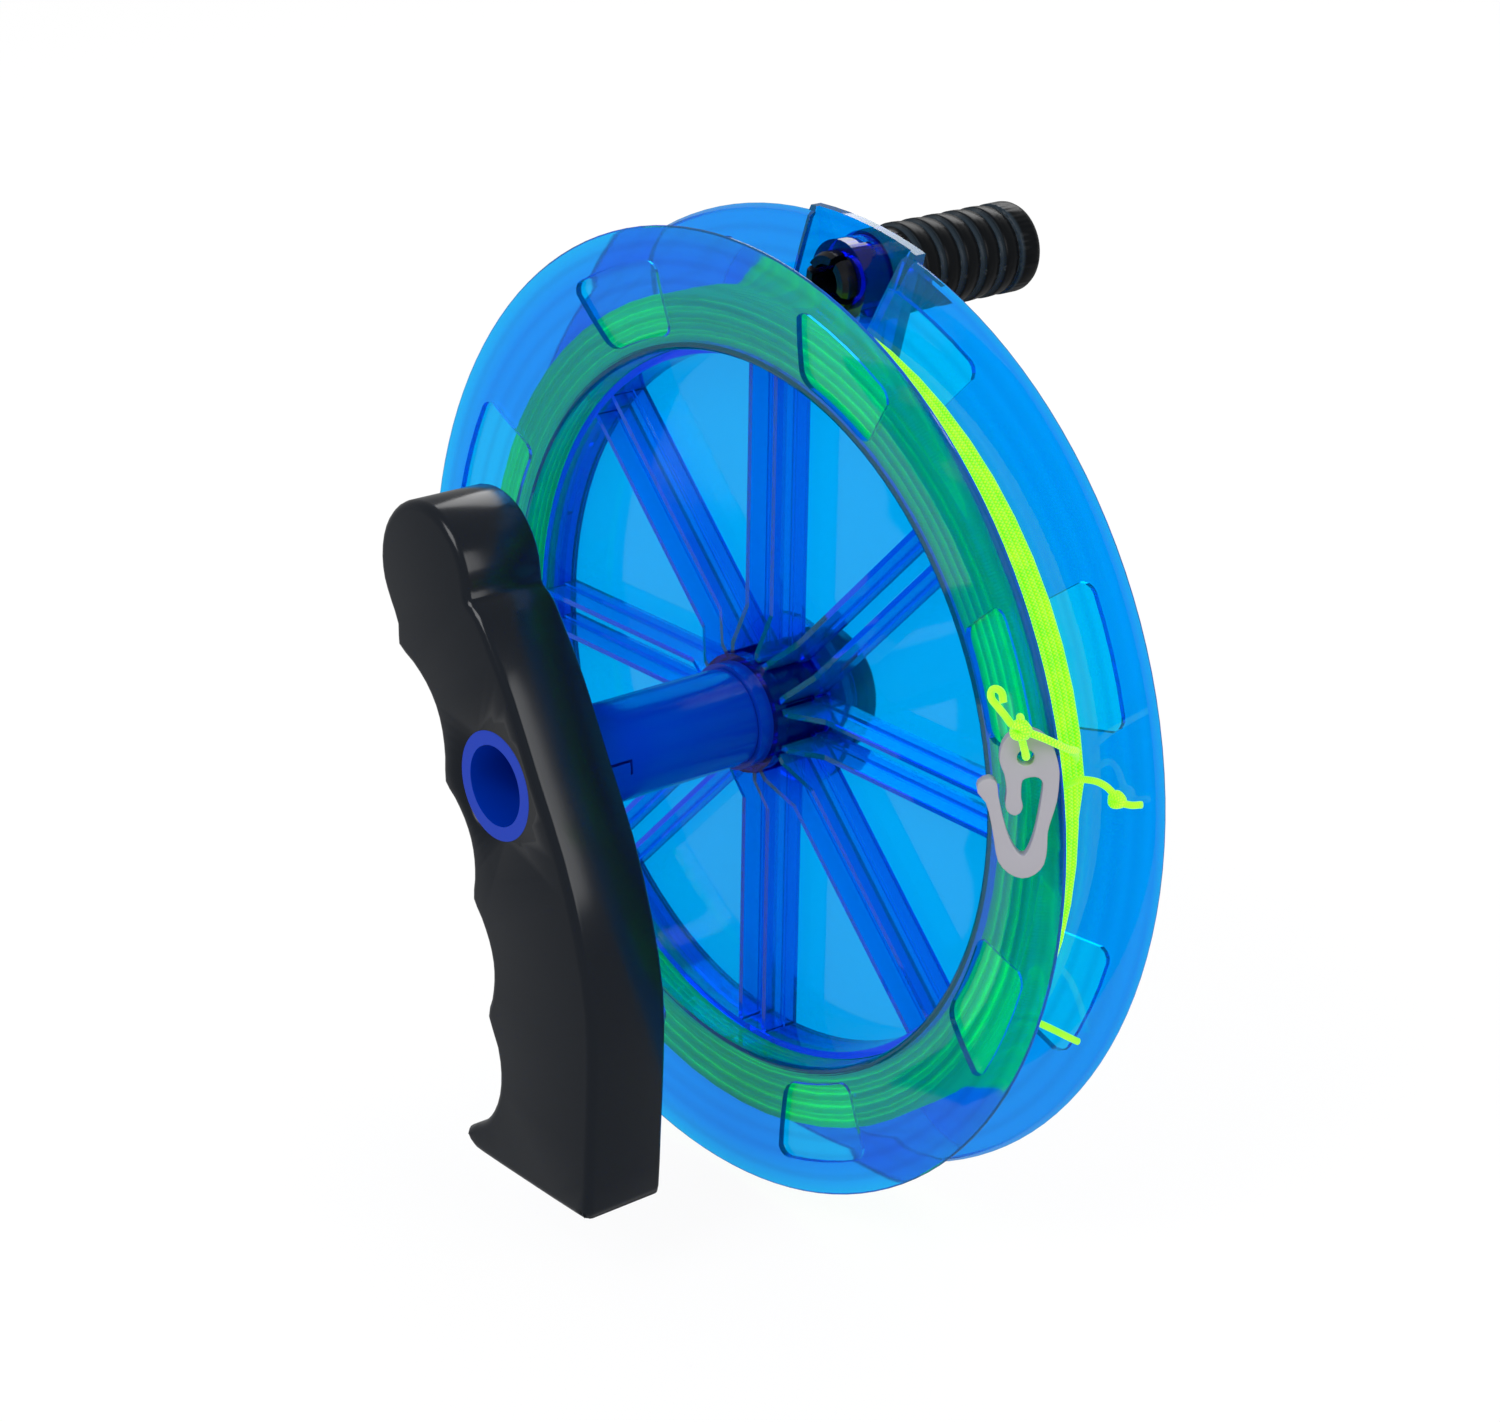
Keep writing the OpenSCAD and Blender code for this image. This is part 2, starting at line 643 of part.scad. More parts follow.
knob_start = plate_back + end_play;
knob_end = knob_start + knob_l;
knob_r = knob_d/2;
collar_w = 3;
knob_neck = 2.4;
knob_last_w = 6.8;
knob_edge = 2.2;
knob_cap_t = 1.6;
core_d = stem_d;
snap_bead = 0.65;
snap_bead_w = 2.4;
snap_lead = 1.2;
snap_slot = 1.6;
stem_bore_d = 8.2;
ring_pitch = (knob_l - collar_w - knob_neck - knob_last_w)/knob_rings;
snap_front = boss_front - end_play;

module on_knob() rotate([0, knob_angle, 0]) translate([0, 0, knob_offset]) children();

// The knob's core: a split snap end, the stem in the boss, and a shaft through the sleeve.
module knob_core() color("#15181c") translate([0, wheel_y, 0]) on_knob() difference() {
  turned([
    [stem_bore_d/2, snap_front - snap_bead_w - snap_lead], [core_d/2, snap_front - snap_bead_w - snap_lead],
    [core_d/2 + snap_bead, snap_front - snap_bead_w], [core_d/2 + snap_bead, snap_front],
    [core_d/2, snap_front], [core_d/2, knob_end - knob_cap_t - seat],
    [stem_bore_d/2, knob_end - knob_cap_t - seat]
  ], 48);
  for (a = [20, 110]) rotate([0, a, 0]) translate([0, snap_front, 0])
    cube([snap_slot, 2*(snap_bead_w + snap_lead + core_d/4), 2*core_d], center = true);
}

// Rounded rings between shallow grooves, behind a collar and before a wider end.
function ring_bump(y0) = [
  for (k = [0:6]) [knob_r - knob_groove + knob_groove*pow(sin(180*k/6), 0.6), y0 + ring_pitch*k/6]
];
rings_y = knob_start + collar_w + knob_neck;

module knob_sleeve() color("#1b2026") translate([0, wheel_y, 0]) on_knob() turned(concat(
  [[core_d/2 + run, knob_start], [knob_r - 2*knob_groove, knob_start]],
  [[knob_r - knob_groove/2, knob_start + knob_groove], [knob_r - knob_groove/2, knob_start + collar_w - knob_groove]],
  [[knob_r - 1.6*knob_groove, knob_start + collar_w], [knob_r - 1.6*knob_groove, rings_y - knob_groove/2]],
  [for (i = [0:knob_rings - 1]) each ring_bump(rings_y + i*ring_pitch)],
  arc([knob_r - knob_groove, knob_end - knob_last_w + knob_groove], knob_groove, 300, 360, 2),
  arc([knob_r - knob_edge, knob_end - knob_edge], knob_edge, 0, 90, 5),
  [[knob_r - knob_edge - seat, knob_end - knob_cap_t], [core_d/2 + run, knob_end - knob_cap_t]]
), 72);

module knob_cap() color("#15181c") translate([0, wheel_y, 0]) on_knob() {
  rod(2*(knob_r - knob_edge - 2*seat), knob_end - knob_cap_t, knob_end);
  rod(stem_bore_d - 2*run, knob_end - knob_cap_t - core_d/2, knob_end - knob_cap_t/2);
}

// ---- Line ---------------------------------------------------------------------------------

steps = 24;                       // rings in one turn
sides_n = 6;
turn_r = drum_r + pack_h - line_d/2;  // radius of the turns' centre line
lean_angle = 8;                   // down from the +X side
lean = pack_lean*[cos(lean_angle), 0, -sin(lean_angle)];
line_gap = 0.25;                  // from the outer turns to the flanges
front_turn = front_face(turn_r - pack_lean) + flange_t + line_d/2 + line_gap;
rear_turn = rear_face(turn_r - pack_lean) - line_d/2 - line_gap;
pitch = (rear_turn - front_turn)/turns;
core_r = turn_r*cos(180/steps) - line_d/2 - seat;
lead_angle = 7;                   // where the last turn ends, up from the +X side

function turn_point(k) =
  let (a = lead_angle - 360*(turns - k/steps))
    lean + [turn_r*cos(a), wheel_y + front_turn + pitch*k/steps, turn_r*sin(a)];
last = turns*steps;
start_dir = [cos(lead_angle), 0, sin(lead_angle)];
end_dir = [-sin(lead_angle), 0, cos(lead_angle)];
winding = concat(
  [turn_point(0) - start_dir*(turn_r - core_r), turn_point(0) - start_dir*(turn_r - core_r - line_d)],
  [for (k = [1:last]) turn_point(k)],
  [turn_point(last) + end_dir*line_d]
);
winding_gap = min([
  for (i = [1:last - steps/2], j = [i + steps/2:min(last, i + 2*steps)]) norm(winding[i] - winding[j])
]) - line_d;
echo(winding_gap = winding_gap);

module line_core() color("#5fe010") translate([0, wheel_y, 0]) intersection() {
  core_end = core_r + pack_lean;
  turned(concat(
    [[drum_r + seat, front_flare + flange_t + line_gap]],
    [for (r = [drum_r + corner_r, (drum_r + core_end)/2, core_end]) [r, front_face(r) + flange_t + line_gap]],
    [for (r = [core_end, (drum_r + core_end)/2]) [r, rear_face(r) - line_gap]],
    [[drum_r + seat, rear_foot - line_gap]]
  ));
  translate(lean) turned([[0, 0], [core_r, 0], [core_r, wheel_w], [0, wheel_w]]);
}

module line_winding() color("#9cf820") tube(winding, line_d, sides_n, [0, 1, 0.001]);

// Routes of the loose ends, from the level of the axle at the rear rim's edge and the front rim.
function by_rim(route) = [for (p = route) [rim_r, wheel_y, 0] + p];
last_end = winding[len(winding) - 1];
clip_line_route = by_rim([
  [-17.2, 18.2, 14.4], [-15.8, 17.0, 16.6], [-14.2, 15.2, 18.3], [-12.6, 13.0, 19.6], [-10.6, 10.7, 20.8],
  [-8.3, 8.4, 22.2], [-5.4, 6.1, 23.9], [-2.2, 3.0, 25.8], [-1.0, -0.4, 27.4], [-0.6, -3.8, 29.4],
  [-1.4, -6.8, 31.2], [-3.0, -9.1, 32.4]
]);
clip_loop_route = by_rim([
  [-4.3, -9.9, 31.3], [-4.4, -9.0, 28.8], [-4.7, -8.0, 26.6], [-6.2, -6.8, 26.1], [-7.7, -5.5, 26.6],
  [-8.9, -5.3, 29.1], [-8.9, -5.9, 32.3], [-7.3, -7.5, 34.0], [-5.6, -8.9, 34.4], [-4.7, -9.7, 33.7]
]);
curl_tail_route = by_rim([
  [-5.4, -11.6, 34.0], [-6.5, -12.4, 35.8], [-7.6, -13.3, 37.5], [-8.5, -14.3, 39.6], [-8.1, -14.1, 41.1],
  [-6.6, -13.6, 41.0], [-5.5, -13.8, 39.0]
]);
loose_end_route = by_rim([
  [-16.0, 14.0, 10.8], [-13.8, 13.9, 12.4], [-12.4, 14.5, 13.3], [-10.8, 16.3, 13.3], [-9.4, 18.6, 12.2],
  [-8.3, 20.2, 10.4], [-7.4, 20.9, 8.8], [-5.2, 22.0, 8.2], [-2.6, 23.0, 8.8]
]);
short_tail_route = by_rim([
  [-24.8, 9.8, -41.4], [-22.4, 11.4, -42.7], [-20.5, 13.8, -44.2], [-18.8, 16.8, -46.2], [-17.4, 20.2, -48.6],
  [-16.8, 22.0, -49.8]
]);
knot_d = 4.6;
loose_knot_d = 4;
clip_knot_at = by_rim([[-4.2, -10.3, 32.9]])[0];
loose_knot_at = by_rim([[-7.6, 20.9, 8.8]])[0];

module clip_line() color("#9cf820") tube(concat([last_end], clip_line_route), line_d, 8);
module clip_loop() color("#9cf820") tube(clip_loop_route, line_d, 8);
module curl_tail() color("#9cf820") tube(curl_tail_route, line_d, 8);
module loose_end() color("#9cf820") tube(loose_end_route, line_d, 8);
module short_tail() color("#9cf820") tube(short_tail_route, line_d, 8);
module clip_knot() color("#9cf820") translate(clip_knot_at) sphere(d = knot_d, $fn = 32);
module loose_knot() color("#9cf820") translate(loose_knot_at) sphere(d = loose_knot_d, $fn = 32);

// ---- Clip ---------------------------------------------------------------------------------

// The clip hangs from its eye, turned about the upright to face between +X and -Y.
clip_at = by_rim([[-6.2, -6.8, 26.1]])[0];
clip_turn = 50.6;
// The outline in shares of the clip's length, from the eye's centre, to the right and up.
clip_shares = [
  [0.02, 0.18], [0.14, 0.11], [0.2, -0.04], [0.21, -0.15], [0.2, -0.29], [0.17, -0.41], [0.15, -0.5],
  [0.15, -0.6], [0.135, -0.71], [0.08, -0.78], [0, -0.806], [-0.085, -0.77], [-0.15, -0.69],
  [-0.175, -0.57], [-0.2, -0.43], [-0.235, -0.3], [-0.287, -0.235], [-0.284, -0.172], [-0.22, -0.138],
  [-0.17, -0.172], [-0.16, -0.25], [-0.128, -0.395], [-0.085, -0.535], [-0.038, -0.622], [0, -0.653],
  [0.028, -0.631], [0.062, -0.535], [0.088, -0.395], [0.11, -0.216], [0.103, -0.153], [0.062, -0.128],
  [0, -0.14], [-0.02, -0.172], [-0.02, -0.27], [-0.008, -0.32], [-0.022, -0.366], [-0.062, -0.384],
  [-0.103, -0.356], [-0.116, -0.303], [-0.11, -0.216], [-0.128, -0.11], [-0.16, -0.022], [-0.144, 0.085],
  [-0.085, 0.156]
];

module line_clip() color("#b9b7be") translate(clip_at) rotate([0, 0, clip_turn]) rotate([90, 0, 0])
  difference() {
    linear_extrude(clip_t, center = true) polygon(closed_curve(clip_shares*clip_l, 2));
    cylinder(d = clip_eye_d, h = clip_t + 2*over, center = true, $fn = 32);
  }

grip_shell();
grip_cover();
grip_screws();
axle_tube();
rear_washer();
rear_cap();
wheel_front();
wheel_back();
front_bush();
rear_bush();
line_core();
line_winding();
clip_line();
clip_loop();
clip_knot();
curl_tail();
loose_end();
loose_knot();
short_tail();
knob_core();
knob_sleeve();
knob_cap();
line_clip();
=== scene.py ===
# %% [markdown]
# # Kite line winder
# A clear blue wheel full of bright line, a black finger grip, a ribbed knob and a small clip.
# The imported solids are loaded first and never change. Each piece below either gives one of
# them a finish, or takes its place with a finer mesh that rides on the same body.

# %% Load the frame
import json
import math
import random

import bpy
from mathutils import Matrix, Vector

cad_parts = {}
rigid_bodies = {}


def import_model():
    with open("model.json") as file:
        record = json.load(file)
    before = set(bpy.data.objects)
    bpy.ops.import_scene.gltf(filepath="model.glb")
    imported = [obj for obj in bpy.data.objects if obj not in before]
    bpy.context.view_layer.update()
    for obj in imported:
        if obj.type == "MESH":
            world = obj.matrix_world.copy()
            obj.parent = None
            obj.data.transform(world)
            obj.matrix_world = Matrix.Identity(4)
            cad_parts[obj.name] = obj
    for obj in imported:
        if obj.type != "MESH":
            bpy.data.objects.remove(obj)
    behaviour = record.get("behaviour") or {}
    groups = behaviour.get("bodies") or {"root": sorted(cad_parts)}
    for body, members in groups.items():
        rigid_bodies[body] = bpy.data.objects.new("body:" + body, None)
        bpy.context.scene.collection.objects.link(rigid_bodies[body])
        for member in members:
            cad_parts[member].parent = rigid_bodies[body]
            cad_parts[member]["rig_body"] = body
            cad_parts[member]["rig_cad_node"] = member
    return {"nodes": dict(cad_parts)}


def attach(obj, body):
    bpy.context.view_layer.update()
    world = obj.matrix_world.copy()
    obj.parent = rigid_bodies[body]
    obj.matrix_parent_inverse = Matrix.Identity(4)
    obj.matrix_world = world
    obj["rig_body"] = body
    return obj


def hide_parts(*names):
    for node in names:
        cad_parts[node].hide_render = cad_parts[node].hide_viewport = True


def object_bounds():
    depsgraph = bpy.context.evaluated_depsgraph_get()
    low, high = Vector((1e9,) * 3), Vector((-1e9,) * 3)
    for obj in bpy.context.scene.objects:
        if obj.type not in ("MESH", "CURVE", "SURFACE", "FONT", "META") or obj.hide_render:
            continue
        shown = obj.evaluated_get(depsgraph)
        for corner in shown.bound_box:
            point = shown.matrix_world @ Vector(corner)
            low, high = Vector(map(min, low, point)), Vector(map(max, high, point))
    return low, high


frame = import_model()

cad_box = [list(corner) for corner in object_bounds()]
nodes = frame["nodes"]
scene = bpy.context.scene
MM = 0.001
print("solids:", len(nodes), "box:", [[round(v, 4) for v in c] for c in cad_box])

# %% [markdown]
# The camera stands where the photographer stood: in front of the grip's side, to the right,
# and a little above. A short lens nearby would draw the far rim much smaller than the near
# one, so a long lens from further off is used, and the ellipses stay nearly true.

# %% Camera
CAMERA_AT = (0.533, -0.37866, 0.26824)
CAMERA_TURN = (68.746, 0.0, 50.556)
LENS, SENSOR_W = 79.39, 36.0
bpy.ops.object.camera_add(
    location=CAMERA_AT, rotation=[math.radians(a) for a in CAMERA_TURN]
)
camera = bpy.context.object
camera.name = "studio_camera"
camera.data.sensor_width = SENSOR_W
camera.data.sensor_fit = "HORIZONTAL"
camera.data.lens = LENS
camera.data.clip_start, camera.data.clip_end = 0.01, 50.0
scene.camera = camera
print("lens:", LENS, "mm, camera at:", CAMERA_AT)

# %% [markdown]
# A piece is modelled with nothing else selected, and when it is finished its place goes into
# its mesh. These helpers do that, so that every later cell can stay short. A solid that only
# needs a finish is dressed. One that needs rounder shading is copied first, because the
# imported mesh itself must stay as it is.

# %% Helpers for pieces
SAME_POINT = 0.005 * MM


def only(obj):
    """Selects one object and makes it the active one."""
    if bpy.context.object and bpy.context.object.mode != "OBJECT":
        bpy.ops.object.mode_set(mode="OBJECT")
    bpy.ops.object.select_all(action="DESELECT")
    obj.select_set(True)
    bpy.context.view_layer.objects.active = obj
    return obj


def to_mesh(obj):
    """Turns a curve into a mesh and puts its place into its points."""
    only(obj)
    bpy.ops.object.convert(target="MESH")
    bpy.ops.object.transform_apply(location=True, rotation=True, scale=True)
    return bpy.context.object


def smooth(obj, angle=30):
    """Shades a piece smooth, except over edges sharper than the angle in degrees."""
    only(obj)
    bpy.ops.object.shade_smooth_by_angle(angle=math.radians(angle))
    return obj


def finish_piece(obj, name, body, material, stands_for=()):
    """Names a finished piece, gives it its finish and lets it ride on its body."""
    obj.name = name
    obj.data.name = name
    obj.data.materials.clear()
    obj.data.materials.append(material)
    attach(obj, body)
    if stands_for:
        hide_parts(*stands_for)
    print(name, "points:", len(obj.data.vertices))
    return obj


def copy_of(node):
    """A merged copy of a solid, for a piece that keeps the solid's shape."""
    source = nodes[node]
    twin = source.copy()
    twin.data = source.data.copy()
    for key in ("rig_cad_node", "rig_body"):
        if key in twin:
            del twin[key]
    twin.parent = None
    scene.collection.objects.link(twin)
    only(twin)
    bpy.ops.object.mode_set(mode="EDIT")
    bpy.ops.mesh.select_all(action="SELECT")
    bpy.ops.mesh.remove_doubles(threshold=SAME_POINT)
    bpy.ops.object.mode_set(mode="OBJECT")
    return twin


def dress(material, *names):
    """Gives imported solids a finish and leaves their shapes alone."""
    for node in names:
        nodes[node].data.materials.clear()
        nodes[node].data.materials.append(material)
        print(node, "in", material.name)


print("helpers for pieces are ready, points merge within", SAME_POINT / MM, "mm")

# %% [markdown]
# Colours are written as they are read off a screen, and one function turns them into the
# linear numbers that the shaders expect. Another adds any node with its settings and links,
# which keeps a material down to a few lines where clicking it together would take a page.

# %% Helpers for finishes
def linear(code, alpha=1.0):
    """sRGB hex to a linear colour."""
    parts = [int(code[i:i + 2], 16) / 255 for i in (1, 3, 5)]
    rgb = [c / 12.92 if c <= 0.04045 else ((c + 0.055) / 1.055) ** 2.4 for c in parts]
    return (*rgb, alpha)


def add(tree, kind, links=(), **settings):
    """Adds a node. A setting is a property, or a socket's name with its value or its link."""
    node = tree.nodes.new(kind)
    for key, value in settings.items():
        setattr(node, key, value)
    for socket, value in dict(links).items():
        target = node.inputs[socket]
        if isinstance(value, bpy.types.NodeSocket):
            tree.links.new(value, target)
        else:
            target.default_value = value
    return node


def new_material(name):
    """An empty material and its node tree."""
    material = bpy.data.materials.new(name)
    material.use_nodes = True
    material.node_tree.nodes.clear()
    return material, material.node_tree


def blend(tree, share, first, second):
    """A colour that goes from the first to the second as the share goes from 0 to 1."""
    node = add(tree, "ShaderNodeMix", {"Factor": share}, data_type="RGBA")
    ends = [s for s in node.inputs if s.type == "RGBA"]
    ends[0].default_value, ends[1].default_value = linear(first), linear(second)
    return [s for s in node.outputs if s.type == "RGBA"][0]


print("half grey in linear numbers:", [round(c, 3) for c in linear("#808080")])

# %% [markdown]
# No moulded wall is quite flat or evenly polished. A painted picture could show that, but a
# noise texture does it at any scale and needs no map. The same noise bends the surface a
# little and makes its roughness wander.

# %% Finish: moulding waves
NOISE_LOW, NOISE_HIGH = 0.3, 0.7
WAVE_DEPTH = 0.2 * MM


def ripples(tree, place, strength, rough, scale=90.0):
    """Soft moulding waves, and a roughness that wanders with them."""
    noise = add(tree, "ShaderNodeTexNoise", {"Vector": place, "Scale": scale, "Detail": 2.0})
    bump = add(tree, "ShaderNodeBump", {
        "Height": noise.outputs["Fac"], "Strength": strength, "Distance": WAVE_DEPTH,
    })
    shade = add(tree, "ShaderNodeMapRange", {
        "Value": noise.outputs["Fac"], "From Min": NOISE_LOW, "From Max": NOISE_HIGH,
        "To Min": rough * 0.8, "To Max": rough * 1.25,
    })
    return bump.outputs["Normal"], shade.outputs["Result"]


print("waves up to", WAVE_DEPTH / MM, "mm deep")

# %% [markdown]
# The sleeve of the hub and the knob's boss are the thickest mouldings of the wheel, and faint
# rings of a deeper tint run round its flanges. Both follow from where a point lies,
# so they are worked out from its place and not modelled.

# %% Finish: thick mouldings
HUB_R = 14.0 * MM
BOSS_AT, BOSS_R = (16.13 * MM, 74.9 * MM, 99.6 * MM), 9.9 * MM
SOFT_EDGE = 0.3 * MM
DRUM_EDGE, RING_FADE, RING_STEP = 85 * MM, 4 * MM, 4.2 * MM


def inside(tree, distance, radius):
    """1 within the radius and 0 beyond it."""
    return add(tree, "ShaderNodeMapRange", {
        "Value": distance, "From Min": radius, "From Max": radius + SOFT_EDGE,
        "To Min": 1.0, "To Max": 0.0,
    }).outputs["Result"]


def moulding(tree, place):
    """Where the moulding is thickest, and faint rings of deeper tint across its flanges."""
    parts = add(tree, "ShaderNodeSeparateXYZ", {"Vector": place})
    flat = add(tree, "ShaderNodeCombineXYZ", {"X": parts.outputs["X"], "Z": parts.outputs["Z"]})
    radius = add(tree, "ShaderNodeVectorMath", {0: flat.outputs["Vector"]},
                 operation="LENGTH").outputs["Value"]
    boss = add(tree, "ShaderNodeVectorMath", {0: place, 1: BOSS_AT}, operation="DISTANCE")
    thick = add(tree, "ShaderNodeMath", {
        0: inside(tree, radius, HUB_R), 1: inside(tree, boss.outputs["Value"], BOSS_R),
    }, operation="MAXIMUM").outputs["Value"]
    phase = add(tree, "ShaderNodeMath", {0: radius, 1: 2 * math.pi / RING_STEP},
                operation="MULTIPLY")
    wave = add(tree, "ShaderNodeMath", {0: phase.outputs["Value"]}, operation="SINE")
    flange = add(tree, "ShaderNodeMapRange", {
        "Value": radius, "From Min": DRUM_EDGE, "From Max": DRUM_EDGE + RING_FADE,
    })
    rings = add(tree, "ShaderNodeMath", {
        0: wave.outputs["Value"], 1: flange.outputs["Result"],
    }, operation="MULTIPLY").outputs["Value"]
    return thick, rings


print("rings every", RING_STEP / MM, "mm beyond", DRUM_EDGE / MM, "mm from the axle")

# %% [markdown]
# The wheel is injection moulded in tinted clear plastic, polycarbonate or a clear ABS. A thin
# wall lets sky blue through, and a thick one eats the green as well and goes to deep blue. A
# tint on the surface alone would be the same at every thickness, so a part of it is put into
# the depth of the material.

# %% Finish: tinted clear plastic
RING_TONE = 0.12
wheel_plastic, tree = new_material("tinted clear plastic")
place = add(tree, "ShaderNodeTexCoord").outputs["Object"]
wavy, roughness = ripples(tree, place, 0.05, 0.045)
thick, rings = moulding(tree, place)
clear = add(tree, "ShaderNodeMapRange", {"Value": thick, "To Min": 0.87, "To Max": 0.8})
ring_tone = add(tree, "ShaderNodeMapRange", {
    "Value": rings, "From Min": 0.0, "From Max": 1.0, "To Min": 0.0, "To Max": RING_TONE,
})
deep = add(tree, "ShaderNodeMath", {0: thick, 1: ring_tone.outputs["Result"]},
           operation="MAXIMUM")
surface = add(tree, "ShaderNodeBsdfPrincipled", {
    "Base Color": blend(tree, deep.outputs["Value"], "#00d3ff", "#0022a0"),
    "Roughness": roughness, "IOR": 1.49, "Transmission Weight": clear.outputs["Result"],
    "Normal": wavy,
})
depth = add(tree, "ShaderNodeVolumeAbsorption", {"Color": linear("#00d3fe"), "Density": 1000.0})
add(tree, "ShaderNodeOutputMaterial", {
    "Surface": surface.outputs["BSDF"], "Volume": depth.outputs["Volume"],
})
print(wheel_plastic.name, "nodes:", len(tree.nodes))

# %% [markdown]
# The axle and its bushes are moulded in the same blue with much more dye, so little light
# gets through their walls.

# %% Finish: deep blue plastic
axle_plastic, tree = new_material("deep blue plastic")
place = add(tree, "ShaderNodeTexCoord").outputs["Object"]
wavy, roughness = ripples(tree, place, 0.05, 0.12)
surface = add(tree, "ShaderNodeBsdfPrincipled", {
    "Base Color": linear("#0040d0"), "Roughness": roughness,
    "IOR": 1.49, "Transmission Weight": 0.3, "Normal": wavy,
})
depth = add(tree, "ShaderNodeVolumeAbsorption", {"Color": linear("#0018e0"), "Density": 400.0})
add(tree, "ShaderNodeOutputMaterial", {
    "Surface": surface.outputs["BSDF"], "Volume": depth.outputs["Volume"],
})
print(axle_plastic.name, "nodes:", len(tree.nodes))

# %% [markdown]
# The grip and the knob are moulded black ABS. The grip is polished in the mould, so it shows
# the room in its sides; the knob came from a duller mould. The front edges of its rings face
# the front lamps, and their lighter grey is painted light, a painted highlight. A separate
# piece for each edge would be hard to keep in place, so the finish finds them along the knob's
# axis.

# %% Finish: black ABS
RINGS_Y, RING_PITCH, RINGS = 85.9 * MM, 5.76 * MM, 5
# Where the painted edge highlight ends and the ring's body starts, as shares of a ring.
EDGE_END, BODY_START = 0.1, 0.25
GRAIN_DEPTH = 0.05 * MM


def painted_edge_light(tree, place):
    """1 on the front edge of each of the knob's rings, where light is painted, fading to its
    body.
    """
    along = add(tree, "ShaderNodeSeparateXYZ", {"Vector": place}).outputs["Y"]
    shifted = add(tree, "ShaderNodeMath", {0: along, 1: RINGS_Y}, operation="SUBTRACT")
    count = add(tree, "ShaderNodeMath", {0: shifted.outputs["Value"], 1: RING_PITCH},
                operation="DIVIDE")
    share = add(tree, "ShaderNodeMath", {0: count.outputs["Value"]}, operation="FRACT")
    return add(tree, "ShaderNodeMapRange", {
        "Value": share.outputs["Value"], "From Min": EDGE_END, "From Max": BODY_START,
        "To Min": 1.0, "To Max": 0.0,
    }).outputs["Result"]


def black_plastic(name, colour, rough, grain_mm, grain, shine=0.3, edges=None):
    """Black ABS with a fine grain, and a painted highlight colour on ring edges if one is
    given.
    """
    material, tree = new_material(name)
    place = add(tree, "ShaderNodeTexCoord").outputs["Object"]
    skin = add(tree, "ShaderNodeTexNoise", {
        "Vector": place, "Scale": 1.0 / (grain_mm * MM), "Detail": 3.0,
    })
    flow = add(tree, "ShaderNodeTexNoise", {"Vector": place, "Scale": 40.0, "Detail": 1.0})
    tone = add(tree, "ShaderNodeMapRange", {
        "Value": flow.outputs["Fac"], "From Min": NOISE_LOW, "From Max": NOISE_HIGH,
        "To Min": rough * 0.85, "To Max": rough * 1.2,
    })
    bump = add(tree, "ShaderNodeBump", {
        "Height": skin.outputs["Fac"], "Strength": grain, "Distance": GRAIN_DEPTH,
    })
    paint = linear(colour)
    # Painted highlight: the ring edges get a lighter colour where they face the front lamps.
    if edges:
        paint = blend(tree, painted_edge_light(tree, place), colour, edges)
    surface = add(tree, "ShaderNodeBsdfPrincipled", {
        "Base Color": paint, "Roughness": tone.outputs["Result"],
        "IOR": 1.53, "Specular IOR Level": shine, "Normal": bump.outputs["Normal"],
    })
    add(tree, "ShaderNodeOutputMaterial", {"Surface": surface.outputs["BSDF"]})
    return material


grip_plastic = black_plastic("polished black ABS", "#0e141c", 0.16, 0.5, 0.04)
knob_plastic = black_plastic("satin black ABS", "#06090f", 0.22, 0.3, 0.08)
# The rings' front edges are painted a lighter grey, a painted highlight.
ring_plastic = black_plastic("satin black ABS, rings", "#03060a", 0.34, 0.3, 0.08,
                             shine=0.12, edges="#26313a")
print(grip_plastic.name, knob_plastic.name, ring_plastic.name)

# %% [markdown]
# The line is a fluorescent braid, eight yarns woven round each other. Modelling the yarns
# would take millions of points, so two sets of slanting waves on the tube's own map make the
# crossings, 0.75 mm apart along the line. The valleys between them get a darker green, which
# is painted shade. The dye turns blue light into green; that glow is painted as a fixed
# emission, so the line glows a little by itself even behind the blue plastic.

# %% Finish: fluorescent braid
YARN_DEPTH = 0.15 * MM
# Tones at which the painted valley shade and the crowns' colour are reached.
VALLEY_TONE, CROWN_TONE = 0.45, 1.35


